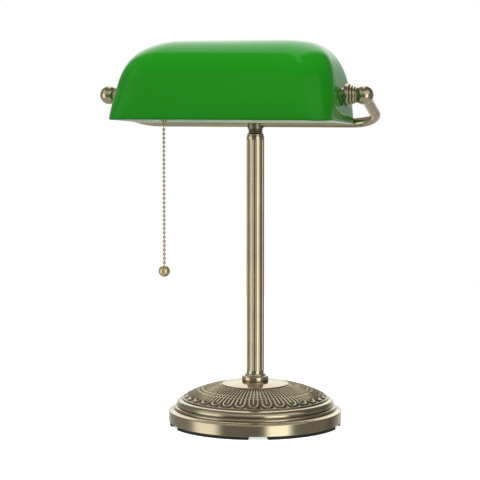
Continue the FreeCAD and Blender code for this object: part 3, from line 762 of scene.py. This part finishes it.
class LAMP_OT_chain(bpy.types.Operator):
    """Model one bead, copy it down the chain, and spin the ball at its end"""
    bl_idname = "lamp.chain"
    bl_label = "Pull Chain"

    def execute(self, context):
        low, high = node_box("chain_beads")
        radius = (high.x - low.x) / 2
        centre_x = (high.x + low.x) / 2
        first = joint_place("chain_swing_side")
        pitch = (first.z + radius - low.z - 2 * radius) / (BEAD_COUNT - 1)
        start_clean()
        bpy.ops.mesh.primitive_uv_sphere_add(segments=20, ring_count=12, radius=radius, location=(0, 0, 0))
        bead = bpy.context.object
        bpy.ops.object.mode_set(mode="EDIT")
        choose_faces(bead, lambda middle: abs(middle.z) > radius * 0.94)
        bpy.ops.mesh.inset(thickness=0.0, depth=-0.12 * MM)
        bpy.ops.object.mode_set(mode="OBJECT")
        copies = []
        for i in range(BEAD_COUNT):
            start_clean()
            copy = bead.copy()
            copy.data = bead.data.copy()
            bpy.context.collection.objects.link(copy)
            copy.location = (centre_x, PIVOT.y, first.z - i * pitch)
            copies.append(copy)
        bpy.data.objects.remove(bead)
        start_clean()
        for copy in copies:
            copy.select_set(True)
        bpy.context.view_layer.objects.active = copies[0]
        bpy.ops.object.join()
        beads = settle(bpy.context.object)
        beads.name = beads.data.name = "bead_chain"
        smooth(60)
        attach(beads, "chain")
        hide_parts("chain_beads")
        give(beads, finish_named("bright_brass"))

        ball_radius = (KNOB_HIGH.x - KNOB_LOW.x) / 2
        outline = arc_points((0, 0), ball_radius, -90, 79, 34)
        outline += [(0.95 * MM, ball_radius - 0.1 * MM), (0.6 * MM, ball_radius), (0, ball_radius)]
        middle = (centre_x, PIVOT.y, KNOB_HIGH.z - ball_radius)
        ball = turned("pull_ball", outline, 64, middle)
        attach(ball, "chain")
        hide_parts("end_ball")
        give(ball, finish_named("bright_brass"))
        return {"FINISHED"}


# ---------------------------------------------------------------- finishes on the carried parts

class LAMP_OT_finishes(bpy.types.Operator):
    """Give every carried part the finish of its material slot"""
    bl_idname = "lamp.finishes"
    bl_label = "Finishes"

    def execute(self, context):
        made = finishes()
        slots = {row["node"]: row["material_slot"] for row in frame["record"]["subparts"]}
        for name, piece in frame["nodes"].items():
            if slots[name] in made:
                give(piece, made[slots[name]])
        return {"FINISHED"}


# ---------------------------------------------------------------- stage

# What the brass and the glass mirror, as stops of (degrees, brightness). A bearing is measured from the
# camera's side of the lamp, and is positive on the lamp's right.
LOW_PANELS = ((-180, 1.0), (-168, 0.9), (-150, 0.4), (-130, 0.3), (-102, 0.3), (-92, 0.5), (-86, 1.1),
              (-80, 1.45), (-57, 1.5), (-50, 0.75), (-44, 0.19), (6, 0.19), (12, 0.3), (17, 1.5), (20, 1.9),
              (43, 1.95), (48, 0.7), (54, 0.21), (106, 0.21), (118, 0.13), (132, 0.28), (145, 0.5),
              (170, 1.0), (180, 1.0))
HIGH_PANELS = ((-180, 1.4), (-160, 1.4), (-148, 0.25), (-105, 0.25), (-95, 0.7), (-60, 0.7), (-50, 0.5),
               (-8, 0.5), (2, 0.8), (68, 0.8), (80, 0.15), (150, 0.15), (162, 1.4), (180, 1.4))
# The dark strip over the front panels, by bearing and by height.
STRIP_SIDES = ((-180, 0.0), (-105, 0.0), (-92, 1.0), (68, 1.0), (82, 0.0), (180, 0.0))
STRIP_HEIGHTS = ((-90, 0.0), (46, 0.0), (50, 1.0), (90, 1.0))
# How far each zone has taken over from the one before it, by height.
HIGH_ZONE = ((-90, 0.0), (8, 0.0), (13, 1.0), (90, 1.0))
CEILING_ZONE = ((-90, 0.0), (83, 0.0), (87, 1.0), (90, 1.0))
TABLE_ZONE = ((-90, 1.0), (-30, 1.0), (-27, 0.0), (90, 0.0))
STRIP_BRIGHTNESS, CEILING_BRIGHTNESS, TABLE_BRIGHTNESS = 0.2, 1.6, 0.5


class LAMP_OT_stage(bpy.types.Operator):
    """Lay a pale floor, set the soft lights and the camera"""
    bl_idname = "lamp.stage"
    bl_label = "Stage"

    def execute(self, context):
        start_clean()
        bpy.ops.mesh.primitive_circle_add(vertices=96, radius=1.1, fill_type="NGON", location=(0, 0, 0))
        floor = bpy.context.object
        floor.visible_glossy = False
        floor.visible_diffuse = False
        floor.name = "studio_floor"
        paint, tree, shader = new_material("pale_floor")
        shader.inputs["Base Color"].default_value = (0.90, 0.90, 0.90, 1)
        shader.inputs["Roughness"].default_value = 0.8
        shader.inputs["Emission Color"].default_value = (1, 1, 1, 1)
        shader.inputs["Emission Strength"].default_value = 0.75
        give(floor, paint)
        context.scene.world = self.studio()

        aim = Vector((0, 0, 0.2))
        lights = (
            ("overhead_box", (0.0, -0.45, 1.6), (1.5, 0.9), 18.0),
            ("left_box", (-1.5, -0.6, 0.8), (0.5, 1.6), 1.5),
            ("right_box", (1.6, 0.3, 0.7), (0.5, 1.5), 1.5),
        )
        for name, place, size, power in lights:
            lamp = bpy.data.lights.new(name, "AREA")
            lamp.shape = "RECTANGLE"
            lamp.size, lamp.size_y = size
            lamp.energy = power
            holder = bpy.data.objects.new(name, lamp)
            holder.visible_glossy = False
            holder.location = place
            holder.rotation_euler = (aim - Vector(place)).to_track_quat("-Z", "Y").to_euler()
            context.collection.objects.link(holder)

        distance = 1.7
        eye = Vector((distance * math.sin(VIEW_SIDE), -distance * math.cos(VIEW_SIDE), 0.331))
        left_of_stem = 0.0154
        target = Vector((-left_of_stem * math.cos(VIEW_SIDE), -left_of_stem * math.sin(VIEW_SIDE), 0.186))
        camera = bpy.data.cameras.new("camera")
        camera.lens = 127.5
        camera.sensor_width = 36
        view = bpy.data.objects.new("camera", camera)
        view.location = eye
        view.rotation_euler = (target - eye).to_track_quat("-Z", "Y").to_euler()
        context.collection.objects.link(view)
        context.scene.camera = view
        context.scene.view_settings.view_transform = "Standard"
        return {"FINISHED"}

    def studio(self):
        """White behind the lamp, and light and dark panels standing round it for the brass to mirror."""
        world = bpy.data.worlds.new("studio")
        world.use_nodes = True
        tree = world.node_tree
        nodes, links = tree.nodes, tree.links

        def sum_of(operation, *values):
            step = nodes.new("ShaderNodeMath")
            step.operation = operation
            for socket, value in zip(step.inputs, values):
                if isinstance(value, (int, float)):
                    socket.default_value = value
                else:
                    links.new(value, socket)
            return step.outputs["Value"]

        def ramp(source, stops, place_of):
            brightest = max(value for degrees, value in stops)
            made = nodes.new("ShaderNodeValToRGB")
            elements = made.color_ramp.elements
            elements.remove(elements[1])
            for i, (degrees, value) in enumerate(stops):
                element = elements[0] if i == 0 else elements.new(place_of(degrees))
                element.position = place_of(degrees)
                element.color = (value / brightest,) * 3 + (1,)
            links.new(source, made.inputs["Fac"])
            return sum_of("MULTIPLY", made.outputs["Color"], brightest)

        def blend(share, first, second):
            return sum_of("ADD", sum_of("MULTIPLY", first, sum_of("SUBTRACT", 1.0, share)),
                          sum_of("MULTIPLY", second, share))

        def by_bearing(degrees):
            return degrees / 360 + 0.5

        def by_height(degrees):
            return math.sin(math.radians(degrees)) / 2 + 0.5

        way = nodes.new("ShaderNodeTexCoord")
        apart = nodes.new("ShaderNodeSeparateXYZ")
        links.new(way.outputs["Generated"], apart.inputs["Vector"])
        bearing = sum_of("ARCTAN2", apart.outputs["X"], sum_of("MULTIPLY", apart.outputs["Y"], -1.0))
        to_front = sum_of("WRAP", sum_of("SUBTRACT", bearing, VIEW_SIDE), math.pi, -math.pi)
        side = sum_of("ADD", sum_of("DIVIDE", to_front, FULL_TURN), 0.5)
        height = sum_of("ADD", sum_of("MULTIPLY", apart.outputs["Z"], 0.5), 0.5)
        strip = sum_of("MULTIPLY", ramp(height, STRIP_HEIGHTS, by_height),
                       ramp(side, STRIP_SIDES, by_bearing))
        high = blend(strip, ramp(side, HIGH_PANELS, by_bearing), STRIP_BRIGHTNESS)
        whole = blend(ramp(height, HIGH_ZONE, by_height), ramp(side, LOW_PANELS, by_bearing), high)
        whole = blend(ramp(height, CEILING_ZONE, by_height), whole, CEILING_BRIGHTNESS)
        whole = blend(ramp(height, TABLE_ZONE, by_height), whole, TABLE_BRIGHTNESS)
        mirrored = nodes["Background"]
        mirrored.inputs["Color"].default_value = (1, 1, 1, 1)
        links.new(whole, mirrored.inputs["Strength"])
        plain = nodes.new("ShaderNodeBackground")
        plain.inputs["Color"].default_value = (1, 1, 1, 1)
        kind = nodes.new("ShaderNodeLightPath")
        seen = nodes.new("ShaderNodeMixShader")
        links.new(kind.outputs["Is Camera Ray"], seen.inputs["Fac"])
        links.new(mirrored.outputs["Background"], seen.inputs[1])
        links.new(plain.outputs["Background"], seen.inputs[2])
        links.new(seen.outputs["Shader"], nodes["World Output"].inputs["Surface"])
        return world


class LAMP_PT_panel(bpy.types.Panel):
    """Buttons that build the lamp, in order"""
    bl_label = "Banker's Lamp"
    bl_idname = "LAMP_PT_panel"
    bl_space_type = "VIEW_3D"
    bl_region_type = "UI"
    bl_category = "Lamp"

    def draw(self, context):
        for settings in (context.scene.lamp_shade, context.scene.lamp_metal, context.scene.lamp_foot):
            box = self.layout.box()
            for name in settings.__annotations__:
                box.prop(settings, name)
        for step in STEPS:
            self.layout.operator(step.bl_idname)


STEPS = (LAMP_OT_finishes, LAMP_OT_shade, LAMP_OT_foot, LAMP_OT_hubs, LAMP_OT_stem_fittings,
         LAMP_OT_chain, LAMP_OT_stage)
SETTINGS = (("lamp_shade", LampShadeSettings), ("lamp_metal", LampMetalSettings),
            ("lamp_foot", LampFootSettings))


def register():
    for name, group in SETTINGS:
        bpy.utils.register_class(group)
        setattr(bpy.types.Scene, name, bpy.props.PointerProperty(type=group))
    for step in STEPS:
        bpy.utils.register_class(step)
    bpy.utils.register_class(LAMP_PT_panel)


def unregister():
    bpy.utils.unregister_class(LAMP_PT_panel)
    for step in reversed(STEPS):
        bpy.utils.unregister_class(step)
    for name, group in reversed(SETTINGS):
        delattr(bpy.types.Scene, name)
        bpy.utils.unregister_class(group)


def main():
    register()
    bpy.ops.lamp.finishes()
    bpy.ops.lamp.shade()
    bpy.ops.lamp.foot()
    bpy.ops.lamp.hubs()
    bpy.ops.lamp.stem_fittings()
    bpy.ops.lamp.chain()
    bpy.ops.lamp.stage()


if __name__ == "__main__":
    main()
